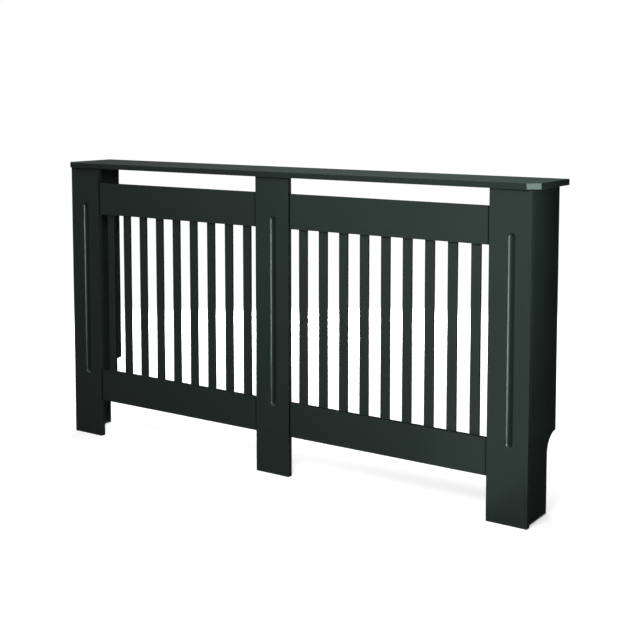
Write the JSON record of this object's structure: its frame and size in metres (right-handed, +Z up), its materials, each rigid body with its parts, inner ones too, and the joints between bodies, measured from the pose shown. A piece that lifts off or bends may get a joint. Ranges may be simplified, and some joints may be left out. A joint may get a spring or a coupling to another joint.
{
  "type": "radiator cover",
  "caption": "Free-standing radiator cover with a slatted front, fluted pilasters, a flat shelf and end panels cut away for the skirting board.",
  "frame": {"origin": "on the floor, in the middle of the overall width and depth", "axes": "+X along the wall to the viewer's right, +Y from the room towards the wall, +Z up"},
  "size_m": [1.515, 0.19, 0.815],
  "materials": {
    "painted_board": "dark green-grey satin paint on smooth fibreboard",
    "dowel_wood": "plain fluted beech dowel",
    "cast_zinc": "plain die-cast zinc",
    "plated_screw": "zinc plated",
    "plated_plate": "zinc plated sheet",
    "bright_pin": "bright drawn wire"
  },
  "bodies": {
    "root": {"top_shelf": "painted_board", "left_pilaster": "painted_board", "centre_pilaster": "painted_board", "right_pilaster": "painted_board", "left_side_panel": "painted_board", "right_side_panel": "painted_board", "left_top_rail": "painted_board", "left_bottom_rail": "painted_board", "right_top_rail": "painted_board", "right_bottom_rail": "painted_board", "left_slat_1": "painted_board", "left_slat_2": "painted_board", "left_slat_3": "painted_board", "left_slat_4": "painted_board", "left_slat_5": "painted_board", "left_slat_6": "painted_board", "left_slat_7": "painted_board", "left_slat_8": "painted_board", "left_slat_9": "painted_board", "right_slat_1": "painted_board", "right_slat_2": "painted_board", "right_slat_3": "painted_board", "right_slat_4": "painted_board", "right_slat_5": "painted_board", "right_slat_6": "painted_board", "right_slat_7": "painted_board", "right_slat_8": "painted_board", "right_slat_9": "painted_board", "rail_dowels": "dowel_wood", "side_dowels": "dowel_wood", "shelf_dowels": "dowel_wood", "side_cam_locks": "cast_zinc", "shelf_cam_locks": "cast_zinc", "side_cam_bolts": "plated_screw", "shelf_cam_bolts": "plated_screw", "joining_plate_screws": "plated_screw", "shelf_bracket_screws": "plated_screw", "wall_bracket_screws": "plated_screw", "joining_plates": "plated_plate", "shelf_brackets": "plated_plate", "left_wall_bracket": "plated_plate", "right_wall_bracket": "plated_plate", "slat_pins": "bright_pin"}
  },
  "joints": []
}
